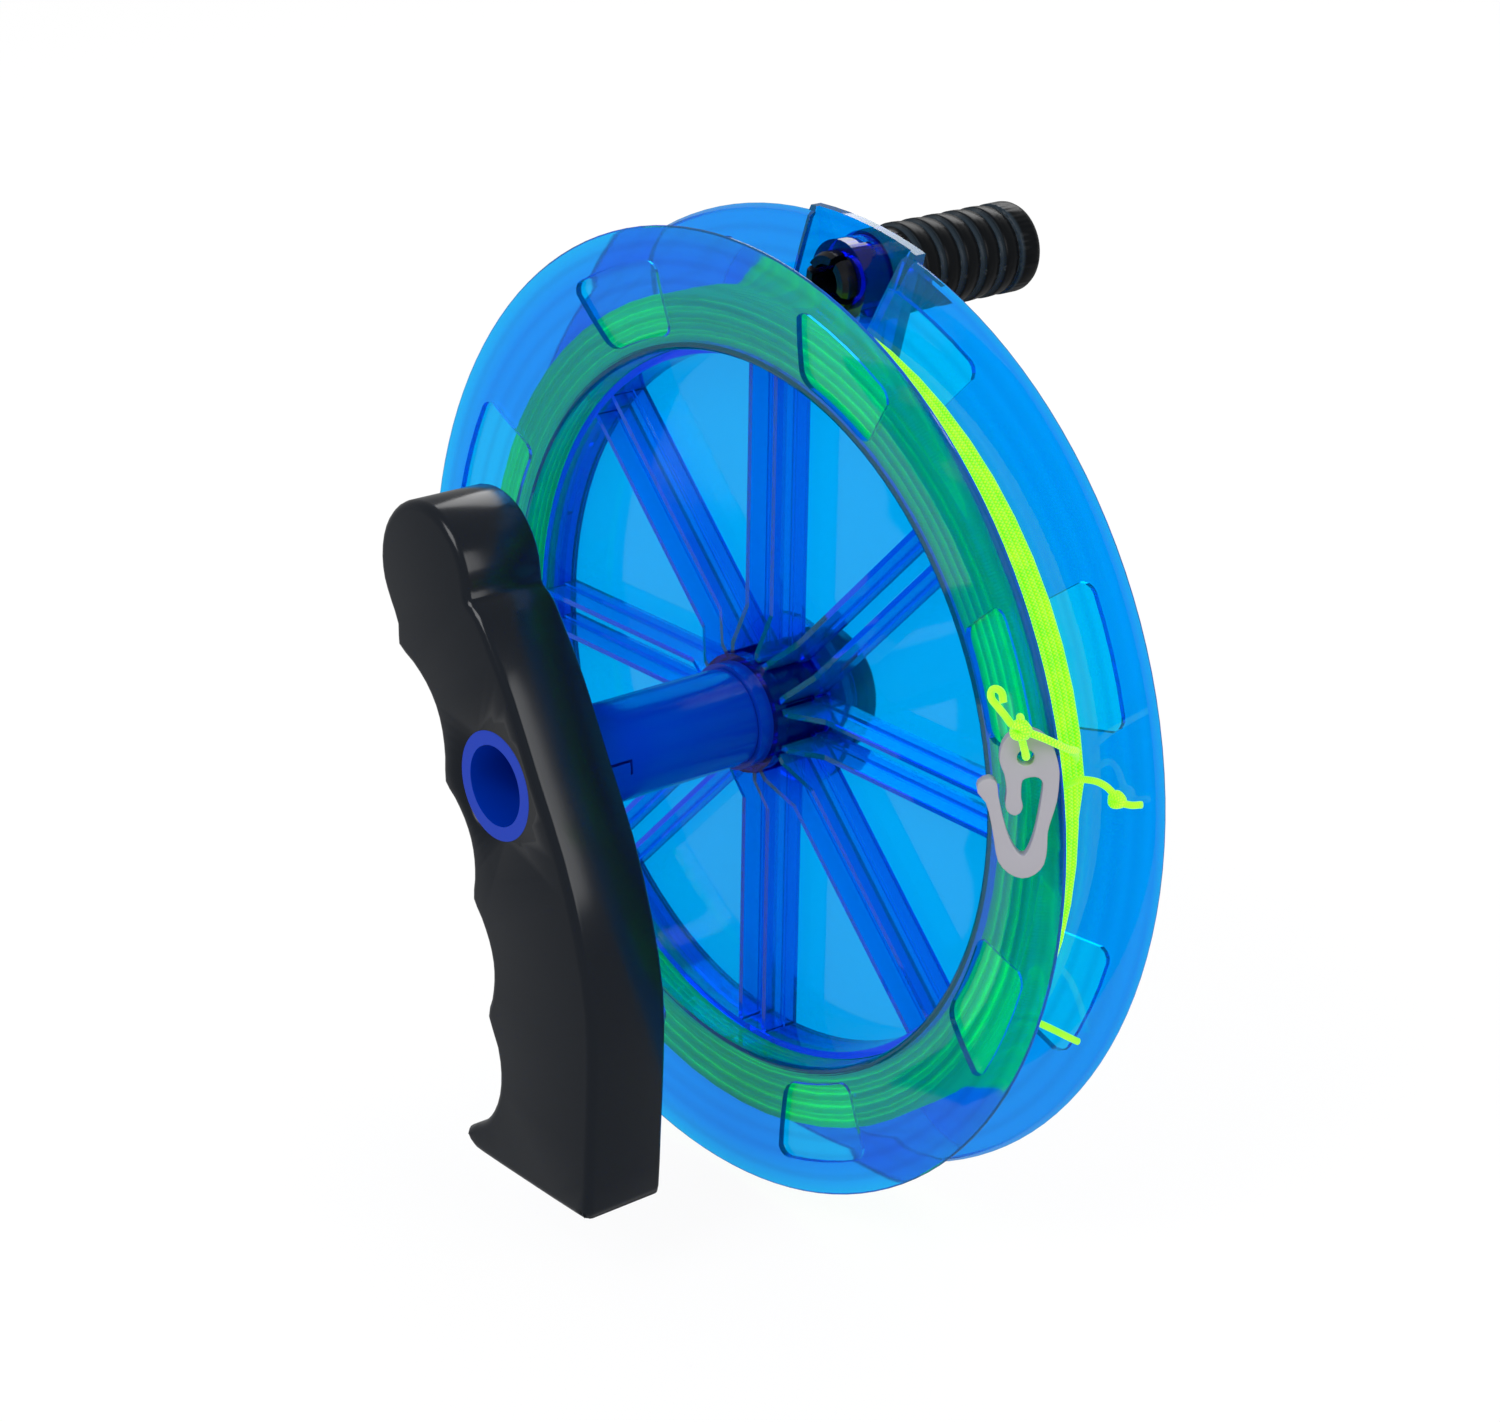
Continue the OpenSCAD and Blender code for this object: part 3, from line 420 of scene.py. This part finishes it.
def braid(name, crown, shaded_valley, glow, length, along=0.75, yarns=4):
    """A braid that reads the tube's own map: u runs along the line and v round it."""
    material, tree = new_material(name)
    place = add(tree, "ShaderNodeTexCoord").outputs["UV"]
    parts = add(tree, "ShaderNodeSeparateXYZ", {"Vector": place})
    run = add(tree, "ShaderNodeMath", {0: parts.outputs["X"], 1: length / (along * MM)},
              operation="MULTIPLY")
    turn = add(tree, "ShaderNodeMath", {0: parts.outputs["Y"], 1: float(yarns)},
               operation="MULTIPLY")
    waves = []
    for way in ("ADD", "SUBTRACT"):
        slant = add(tree, "ShaderNodeMath", {0: run.outputs[0], 1: turn.outputs[0]},
                    operation=way)
        angle = add(tree, "ShaderNodeMath", {0: slant.outputs[0], 1: math.pi},
                    operation="MULTIPLY")
        wave = add(tree, "ShaderNodeMath", {0: angle.outputs[0]}, operation="SINE")
        waves.append(add(tree, "ShaderNodeMath", {0: wave.outputs[0]}, operation="ABSOLUTE"))
    high = add(tree, "ShaderNodeMath", {0: waves[0].outputs[0], 1: waves[1].outputs[0]},
               operation="MULTIPLY")
    spot = add(tree, "ShaderNodeTexNoise", {
        "Vector": add(tree, "ShaderNodeTexCoord").outputs["Object"],
        "Scale": 260.0, "Detail": 2.0,
    })
    mixed = add(tree, "ShaderNodeMath", {0: high.outputs[0], 1: spot.outputs["Fac"]},
                operation="ADD")
    tone = add(tree, "ShaderNodeMapRange", {
        "Value": mixed.outputs[0], "From Min": VALLEY_TONE, "From Max": CROWN_TONE,
    })
    # Painted shade: the valleys between crossings get the darker green, with a random mottle
    # mixed in.
    paint = blend(tree, tone.outputs["Result"], shaded_valley, crown)
    bump = add(tree, "ShaderNodeBump", {
        "Height": high.outputs[0], "Strength": 0.7, "Distance": YARN_DEPTH,
    })
    # The emission is a painted glow of fixed strength that stands in for the dye's
    # fluorescence.
    surface = add(tree, "ShaderNodeBsdfPrincipled", {
        "Base Color": paint, "Roughness": 0.6, "IOR": 1.46, "Sheen Weight": 0.3,
        "Normal": bump.outputs["Normal"],
        "Emission Color": paint, "Emission Strength": glow,
    })
    add(tree, "ShaderNodeOutputMaterial", {"Surface": surface.outputs["BSDF"]})
    return material


print("braid crossings up to", YARN_DEPTH / MM, "mm deep")

# %% [markdown]
# The wound line is one unbroken tube. Rings would be simpler, but their ends wouldn't join
# and their order shows. So the tube is laid turn beside turn, layer on layer, from the drum
# outwards, and each layer runs back the other way, as a winder fills. The pack stands a
# little off centre, as the pull of the line leaves it, and small wanderings keep the turns
# from looking machined.

# %% Wound line: sizes
WHEEL_Y = 50 * MM
RIM_R, DRUM_R = 111 * MM, 84 * MM
FRONT_FLARE, REAR_FLARE, REAR_FOOT = 4.2 * MM, 8.3 * MM, 17.5 * MM
FRONT_CURVE, REAR_CURVE = 1.8, 1.25
FLANGE_T = 2.2 * MM
LINE_D, LINE_GAP, LAYER_H = 1.5 * MM, 0.25 * MM, 1.36 * MM
PACK_R = 95.3 * MM
LEAN, LEAN_ANGLE = 1.4 * MM, math.radians(-8)
LEAD_ANGLE = math.radians(7)
LAYERS, STEPS = 8, 64
WANDER_MM, SINK_MM, FADE_STEEP = 0.12, 0.1, 8
LAST_END = (93.66, 68.24, 12.65)
print("drum to rim:", round((RIM_R - DRUM_R) / MM, 1), "mm, line:", LINE_D / MM, "mm thick")

# %% Wound line: route
def metres(points):
    """Points in millimetres, as they are written here, to Blender's metres."""
    return [tuple(v * MM for v in p) for p in points]


def measured(points):
    """The length of a route."""
    return sum((Vector(a) - Vector(b)).length for a, b in zip(points, points[1:]))


def flange_share(r):
    """0 at the drum and 1 at the rim."""
    return max(0.0, min(1.0, (r - DRUM_R) / (RIM_R - DRUM_R)))


def pack_sides(r):
    """Where the first and the last turn of a layer lie, from the wheel's front rim."""
    front = FRONT_FLARE * (1 - flange_share(r)) ** FRONT_CURVE + FLANGE_T
    rear = REAR_FOOT + REAR_FLARE * flange_share(r) ** REAR_CURVE
    return front + LINE_D / 2 + LINE_GAP, rear - LINE_D / 2 - LINE_GAP


def layer_route(r, lean, turns, forward, chance):
    """One layer: turns side by side across the drum, each a little off its place."""
    sides = pack_sides(r - lean)
    begin, end = sides if forward else sides[::-1]
    shift = [chance.uniform(-WANDER_MM, WANDER_MM) * MM for _ in range(turns + 2)]
    sink = [chance.uniform(-SINK_MM, 0.0) * MM for _ in range(turns + 2)]
    points = []
    for i in range(turns * STEPS):
        turn, part = divmod(i, STEPS)
        ease = (part / STEPS) ** 2 * (3 - 2 * part / STEPS)
        share = i / (turns * STEPS)
        fade = min(1.0, FADE_STEEP * share, FADE_STEEP * (1 - share))
        y = begin + (end - begin) * share
        y += fade * (shift[turn] + (shift[turn + 1] - shift[turn]) * ease)
        out = r + fade * (sink[turn] + (sink[turn + 1] - sink[turn]) * ease)
        angle = LEAD_ANGLE + 2 * math.pi * i / STEPS
        points.append((
            lean * math.cos(LEAN_ANGLE) + out * math.cos(angle), WHEEL_Y + y,
            lean * math.sin(LEAN_ANGLE) + out * math.sin(angle),
        ))
    return points


def pack_route(seed=7):
    """Points of the wound line, from the drum to the end of its outer layer."""
    chance = random.Random(seed)
    points, total = [], 0
    for k in range(LAYERS):
        r = PACK_R - LINE_D / 2 - (LAYERS - 1 - k) * LAYER_H
        lean = LEAN * k / (LAYERS - 1)
        low, high = pack_sides(r - lean)
        turns = int((high - low) / LINE_D)
        points += layer_route(r, lean, turns, k % 2 == 0, chance)
        total += turns
    return points + metres([LAST_END]), total


route, turns_in_pack = pack_route()
pack_length = measured(route)
print("turns:", turns_in_pack, "line on the wheel in metres:", round(pack_length, 2))

# %% [markdown]
# A tube could be swept by hand from circles. A curve with a round bevel does it in one step
# and brings the map that the braid needs. It is turned into a mesh once it is laid.

# %% Wound line: tube
def tube_curve(points, diameter, smooth_line=True, sides=2, steps=6):
    """A curve of one open spline through the points, as thick as the line."""
    bpy.ops.object.select_all(action="DESELECT")
    bpy.ops.curve.primitive_bezier_curve_add(location=(0, 0, 0))
    obj = bpy.context.object
    data = obj.data
    data.splines.clear()
    data.dimensions = "3D"
    if smooth_line:
        spline = data.splines.new("BEZIER")
        spline.bezier_points.add(len(points) - 1)
        for stop, point in zip(spline.bezier_points, points):
            stop.co = point
            stop.handle_left_type = stop.handle_right_type = "AUTO"
    else:
        spline = data.splines.new("POLY")
        spline.points.add(len(points) - 1)
        for stop, point in zip(spline.points, points):
            stop.co = (*point, 1.0)
    data.bevel_depth = diameter / 2
    data.bevel_resolution = sides
    data.resolution_u = steps
    data.use_fill_caps = True
    return obj


ROUND_ANGLE = 80
# Crown colour, painted shade colour for the valleys, and painted glow strength.
pack_braid = braid("fluorescent braid, wound", "#a8fa1c", "#58e008", 0.85, pack_length)
pack = to_mesh(tube_curve(route, LINE_D, smooth_line=False))
print("maps on the pack:", [m.name for m in pack.data.uv_layers])
smooth(pack, ROUND_ANGLE)
finish_piece(pack, "wound_line", "wheel", pack_braid,
             ("line_winding", "line_core"))

# %% [markdown]
# The line's last turn leaves the pack, climbs over the front rim and is tied to the clip. Two
# short tails stand out of the pack. Their routes were read off and follow the routes
# of their solids, and the same tube is laid along each.

# %% Free line: routes in millimetres
CLIP_LINE = [
    LAST_END, (93.8, 68.2, 14.4), (95.2, 67.0, 16.6), (96.8, 65.2, 18.3),
    (98.4, 63.0, 19.6), (100.4, 60.7, 20.8), (102.7, 58.4, 22.2), (105.6, 56.1, 23.9),
    (108.8, 53.0, 25.8), (110.0, 49.6, 27.4), (110.4, 46.2, 29.4), (109.6, 43.2, 31.2),
    (108.0, 40.9, 32.4),
]
CLIP_LOOP = [
    (106.7, 40.1, 31.3), (106.6, 41.0, 28.8), (106.3, 42.0, 26.6), (104.8, 43.2, 26.1),
    (103.3, 44.5, 26.6), (102.1, 44.7, 29.1), (102.1, 44.1, 32.3), (103.7, 42.5, 34.0),
    (105.4, 41.1, 34.4), (106.3, 40.3, 33.7),
]
CURL_TAIL = [
    (105.6, 38.4, 34.0), (104.5, 37.6, 35.8), (103.4, 36.7, 37.5), (102.5, 35.7, 39.6),
    (102.9, 35.9, 41.1), (104.4, 36.4, 41.0), (105.5, 36.2, 39.0),
]
LOOSE_END = [
    (95.0, 64.0, 10.8), (97.2, 63.9, 12.4), (98.6, 64.5, 13.3), (100.2, 66.3, 13.3),
    (101.6, 68.6, 12.2), (102.7, 70.2, 10.4), (103.6, 70.9, 8.8), (105.8, 72.0, 8.2),
    (108.4, 73.0, 8.8),
]
SHORT_TAIL = [
    (86.2, 59.8, -41.4), (88.6, 61.4, -42.7), (90.5, 63.8, -44.2), (92.2, 66.8, -46.2),
    (93.6, 70.2, -48.6), (94.2, 72.0, -49.8),
]
for title, points in (
    ("to the clip", CLIP_LINE), ("through its eye", CLIP_LOOP), ("curled tail", CURL_TAIL),
    ("knotted tail", LOOSE_END), ("short tail", SHORT_TAIL),
):
    print(title, round(measured(points), 1), "mm")

# %% Free line
FREE_SCALE = 40 * MM
# Crown colour, painted shade colour for the valleys, and painted glow strength.
free_braid = braid("fluorescent braid, free", "#b0fb20", "#68e80c", 0.7, FREE_SCALE)


def free_line(name, points, node):
    """A free piece of line along a route, in place of its solid."""
    path = metres(points)
    piece = to_mesh(tube_curve(path, LINE_D, sides=3, steps=5))
    smooth(piece, ROUND_ANGLE)
    return finish_piece(piece, name, "wheel", free_braid, (node,)), path


leader, leader_path = free_line("clip_leader", CLIP_LINE, "clip_line")
loop, _ = free_line("eye_loop", CLIP_LOOP, "clip_loop")
curl, _ = free_line("curled_tail", CURL_TAIL, "curl_tail")
free_line("knotted_tail", LOOSE_END, "loose_end")
free_line("short_stub", SHORT_TAIL, "short_tail")
print("leader length in mm:", round(measured(leader_path) / MM, 1))

# %% [markdown]
# The clip is held by a tight overhand knot, and one tail ends in another. A true knot could
# be tied along one route, but pulled tight it is only a lump of crossing wraps, so a few
# wraps that tilt as they go round look the same and are easy to place.

# %% Knots
KNOT_TURNS, WRAP_POINTS = 3, 10


def tie_knot(name, at, size, node):
    """A few wraps of the line pulled round the standing part. Place and size are in mm."""
    centre = Vector(at) * MM
    radius = size / 2 * MM - LINE_D / 2
    wraps = []
    for i in range(KNOT_TURNS * WRAP_POINTS + 1):
        t = i / (KNOT_TURNS * WRAP_POINTS)
        a = 2 * math.pi * KNOT_TURNS * t
        tilt = math.pi * t
        flat = Vector((math.cos(a), math.sin(a) * math.cos(tilt), math.sin(a) * math.sin(tilt)))
        wraps.append(tuple(centre + flat * radius))
    piece = to_mesh(tube_curve(wraps, LINE_D, steps=4))
    smooth(piece, ROUND_ANGLE)
    return finish_piece(piece, name, "wheel", free_braid, (node,))


clip_knot = tie_knot("eye_knot", (106.8, 39.7, 32.9), 4.6, "clip_knot")
tie_knot("tail_knot", (103.4, 70.9, 8.8), 4.0, "loose_knot")
print("knots of", KNOT_TURNS, "wraps")

# %% [markdown]
# The wheel's two mouldings keep the shapes of their solids. A solid's round walls are made of
# flat strips, and clear plastic bends each strip's view another way, so that edges behind it
# look like a saw. More strips would only make finer teeth. The true direction of a turned
# wall is known, though: it points away from the axle. So those normals are set exactly.

# %% Wheel: turned walls
KNOB_AXIS = (16.13 * MM, 99.6 * MM)
AXLES = (((0.0, 0.0), 1.0), (KNOB_AXIS, 10 * MM))
ACROSS_MAX = 0.14
SAME_SLOPE = math.radians(14)


def seen_from_axis(point, axis):
    """The direction from an axle to a point, the direction across it, and the distance."""
    out = Vector((point.x - axis[0], 0.0, point.z - axis[1]))
    reach = out.length
    out.normalize()
    return out, Vector((-out.z, 0.0, out.x)), reach


def turned_faces(mesh):
    """For each face that was turned round an axle: that axle, and the slope of its profile."""
    found = []
    for face in mesh.polygons:
        found.append(None)
        for axis, reach in AXLES:
            out, across, far = seen_from_axis(face.center, axis)
            if far < reach and abs(face.normal.dot(across)) < ACROSS_MAX:
                found[-1] = (axis, math.atan2(face.normal.y, face.normal.dot(out)))
                break
    return found


def turned_shading(obj):
    """Gives turned walls the exact normals of round walls, and leaves flat walls flat."""
    only(obj)
    bpy.ops.object.shade_smooth()
    mesh = obj.data
    faces = turned_faces(mesh)
    slopes = {}
    for face, kind in zip(mesh.polygons, faces):
        for v in face.vertices:
            if kind:
                slopes.setdefault((v, kind[0]), []).append(kind[1])
    normals = [None] * len(mesh.loops)
    for face, kind in zip(mesh.polygons, faces):
        for corner, v in zip(face.loop_indices, face.vertices):
            normals[corner] = face.normal.copy()
            if kind:
                axis, slope = kind
                near = [s for s in slopes[v, axis] if abs(s - slope) < SAME_SLOPE]
                mean = sum(near) / len(near)
                out = seen_from_axis(mesh.vertices[v].co, axis)[0]
                normals[corner] = out * math.cos(mean) + Vector((0, math.sin(mean), 0))
    mesh.normals_split_custom_set(normals)
    print("turned faces:", len(faces) - faces.count(None), "of", len(faces))
    return obj


# %% Wheel
for node, name in (("wheel_front", "front_half"), ("wheel_back", "rear_half")):
    half = turned_shading(copy_of(node))
    finish_piece(half, name, "wheel", wheel_plastic, (node,))

dress(axle_plastic, "axle_tube", "front_bush", "rear_bush")

# %% [markdown]
# The clip is moulded acetal, a waxy pale grey plastic with round edges. A little light
# scatters under such a skin, which takes the hardness out of its shadows.

# %% Finish: acetal
SKIN_DEPTH = 1.0 * MM
acetal, tree = new_material("moulded acetal")
place = add(tree, "ShaderNodeTexCoord").outputs["Object"]
mottle = add(tree, "ShaderNodeTexNoise", {"Vector": place, "Scale": 500.0, "Detail": 2.0})
bump = add(tree, "ShaderNodeBump", {
    "Height": mottle.outputs["Fac"], "Strength": 0.15, "Distance": GRAIN_DEPTH,
})
wax = add(tree, "ShaderNodeMapRange", {
    "Value": mottle.outputs["Fac"], "To Min": 0.28, "To Max": 0.42,
})
surface = add(tree, "ShaderNodeBsdfPrincipled", {
    "Base Color": linear("#a5a3ab"), "Roughness": wax.outputs["Result"], "IOR": 1.48,
    "Subsurface Weight": 0.1, "Subsurface Radius": (SKIN_DEPTH,) * 3,
    "Normal": bump.outputs["Normal"],
})
add(tree, "ShaderNodeOutputMaterial", {"Surface": surface.outputs["BSDF"]})
print(acetal.name, "nodes:", len(tree.nodes))

# %% [markdown]
# The clip's solid has sharp edges. A bevel on the sharp ones alone rounds them as the mould
# does and leaves the curves of the hook as they are.

# %% Clip
CLIP_EDGE, SHARP_EDGE = 0.7 * MM, math.radians(50)
clip = only(copy_of("line_clip"))
bevel = clip.modifiers.new("round edges", "BEVEL")
bevel.width = CLIP_EDGE
bevel.segments = 3
bevel.limit_method = "ANGLE"
bevel.angle_limit = SHARP_EDGE
bpy.ops.object.modifier_apply(modifier=bevel.name)
smooth(clip, 40)
finish_piece(clip, "snap_clip", "clip", acetal, ("line_clip",))

# %% [markdown]
# The knob's rings stand like a stack of shallow cups. Each one's front edge faces the wheel
# and catches the light, and behind it the ring falls gently to the next groove. The solid
# has the same rings with a plainer profile, so its own points are moved onto the new one.

# %% Knob
KNOB_R, SKIN_SHARE = 10 * MM, 0.9
CUP = (9.3 * MM, 10.0 * MM, 10.0 * MM, 9.95 * MM, 9.85 * MM, 9.6 * MM)
LIP = 1.0 * MM
FIRST_RING, LAST_RING = -0.01, RINGS - 0.05


def cup_rings(obj):
    """Moves the points of each round ring onto the profile of a cup."""
    for v in obj.data.vertices:
        out, _, reach = seen_from_axis(v.co, KNOB_AXIS)
        along = (v.co.y - RINGS_Y) / RING_PITCH
        if reach < SKIN_SHARE * KNOB_R or not FIRST_RING < along < LAST_RING:
            continue
        ring, part = divmod(along, 1.0)
        step = round(part * len(CUP)) % len(CUP)
        y = RINGS_Y + ring * RING_PITCH + LIP if step == 1 else v.co.y
        v.co = (KNOB_AXIS[0] + out.x * CUP[step], y, KNOB_AXIS[1] + out.z * CUP[step])
    return obj


sleeve = smooth(cup_rings(copy_of("knob_sleeve")), 30)
finish_piece(sleeve, "ribbed_knob", "knob", ring_plastic, ("knob_sleeve",))
dress(knob_plastic, "knob_core", "knob_cap")

# %% [markdown]
# The grip is a polished shell with finger grooves. Its solid has the form already, and smooth
# shading turns its facets into one skin. Its cover, the cap and the washer behind the wheel
# are flat enough as they are.

# %% Grip
grip = smooth(copy_of("grip_shell"), 40)
finish_piece(grip, "grip_body", "grip", grip_plastic, ("grip_shell",))
dress(grip_plastic, "grip_cover", "rear_cap")
dress(knob_plastic, "rear_washer")

# %% [markdown]
# The grip's screws are zinc plated steel: a metal whose polish differs a little from spot to
# spot, which noise in its roughness gives.

# %% Screws
steel, tree = new_material("zinc plated steel")
place = add(tree, "ShaderNodeTexCoord").outputs["Object"]
plate = add(tree, "ShaderNodeTexNoise", {"Vector": place, "Scale": 900.0, "Detail": 3.0})
tone = add(tree, "ShaderNodeMapRange", {
    "Value": plate.outputs["Fac"], "To Min": 0.25, "To Max": 0.45,
})
surface = add(tree, "ShaderNodeBsdfPrincipled", {
    "Base Color": linear("#b8b9bc"), "Metallic": 1.0, "Roughness": tone.outputs["Result"],
})
add(tree, "ShaderNodeOutputMaterial", {"Surface": surface.outputs["BSDF"]})
dress(steel, "grip_screws")

# %% [markdown]
# The free stretch between the pack and the clip's knot starts where the pack's last turn
# ends, and that point is printed here. The tails are shorter still.

# %% Cord
print("cord from", [round(v, 4) for v in leader_path[0]])

# %% [markdown]
# Product pictures are taken on a white sweep. The floor glows white to the camera and through
# the clear plastic, is dimmer in reflections, so that black and glossy pieces keep their
# depth, and is plain matt paper in part, so that it still takes the object's shadow.

# %% Floor
FLOOR_Z, FLOOR_SIZE = cad_box[0][2] - 0.5 * MM, 8
GLOW_SEEN, GLOW_MIRRORED, GLOW_SHARE = 1.02, 0.3, 0.92


def light_path(tree):
    """The kinds of ray, and 1 for one from the camera or through the clear plastic."""
    rays = add(tree, "ShaderNodeLightPath").outputs
    seen = add(tree, "ShaderNodeMath", {
        0: rays["Is Camera Ray"], 1: rays["Is Transmission Ray"],
    }, operation="MAXIMUM")
    return rays, seen.outputs["Value"]


bpy.ops.object.select_all(action="DESELECT")
bpy.ops.mesh.primitive_plane_add(size=FLOOR_SIZE, location=(0, 0, FLOOR_Z))
floor = bpy.context.object
floor.name = "white_floor"
paper, tree = new_material("white paper")
rays, seen = light_path(tree)
mirrored = add(tree, "ShaderNodeMath", {
    0: rays["Is Glossy Ray"], 1: rays["Is Transmission Ray"],
}, operation="SUBTRACT", use_clamp=True).outputs["Value"]
level = add(tree, "ShaderNodeMapRange", {
    "Value": mirrored, "To Min": GLOW_SEEN, "To Max": GLOW_MIRRORED,
})
either = add(tree, "ShaderNodeMath", {0: seen, 1: mirrored}, operation="MAXIMUM")
share = add(tree, "ShaderNodeMath", {0: either.outputs["Value"], 1: GLOW_SHARE},
            operation="MULTIPLY")
matt = add(tree, "ShaderNodeBsdfDiffuse", {"Color": linear("#f2f2f2")})
glow = add(tree, "ShaderNodeEmission", {
    "Color": linear("#ffffff"), "Strength": level.outputs["Result"],
})
mix = add(tree, "ShaderNodeMixShader", {
    0: share.outputs["Value"], 1: matt.outputs["BSDF"], 2: glow.outputs["Emission"],
})
add(tree, "ShaderNodeOutputMaterial", {"Surface": mix.outputs["Shader"]})
floor.data.materials.append(paper)
print("floor at", round(FLOOR_Z / MM, 1), "mm")

# %% [markdown]
# The room round the floor follows the same idea: white where it is looked at, and only soft
# light for everything else.

# %% World
ROOM_LIGHT, ROOM_MIRRORED = 0.6, 0.35
world = bpy.data.worlds.new("white room")
scene.world = world
world.use_nodes = True
tree = world.node_tree
tree.nodes.clear()
rays, seen = light_path(tree)
dim = add(tree, "ShaderNodeMapRange", {
    "Value": rays["Is Glossy Ray"], "To Min": ROOM_LIGHT, "To Max": ROOM_MIRRORED,
})
level = add(tree, "ShaderNodeMath", {0: dim.outputs["Result"], 1: seen}, operation="MAXIMUM")
room = add(tree, "ShaderNodeBackground", {
    "Color": linear("#ffffff"), "Strength": level.outputs["Value"],
})
add(tree, "ShaderNodeOutputWorld", {"Surface": room.outputs["Background"]})
print(world.name, "nodes:", len(tree.nodes))

# %% [markdown]
# Three large softboxes give broad highlights: a key over the front, a fill from the right
# and a weaker one from behind. Small lamps would be brighter spots with hard shadows.

# %% Lamps
LAMP_AIM, LAMP_SIZE = Vector((0, 0.05, 0)), 0.9
for name, at, power in (
    ("key", (0.2, -1.3, 1.3), 14.0),
    ("fill", (1.5, 0.3, 0.7), 8.0),
    ("back", (-0.9, 1.2, 1.1), 8.0),
):
    bpy.ops.object.light_add(type="AREA", location=at)
    lamp = bpy.context.object
    lamp.name = name
    lamp.data.shape = "RECTANGLE"
    lamp.data.size = lamp.data.size_y = LAMP_SIZE
    lamp.data.energy = power
    lamp.rotation_euler = (LAMP_AIM - Vector(at)).to_track_quat("-Z", "Y").to_euler()
    print(name, "softbox:", power, "W")

# %% [markdown]
# The Standard view keeps white paper white and the line's green as bright as it is.

# %% Look
scene.view_settings.view_transform = "Standard"
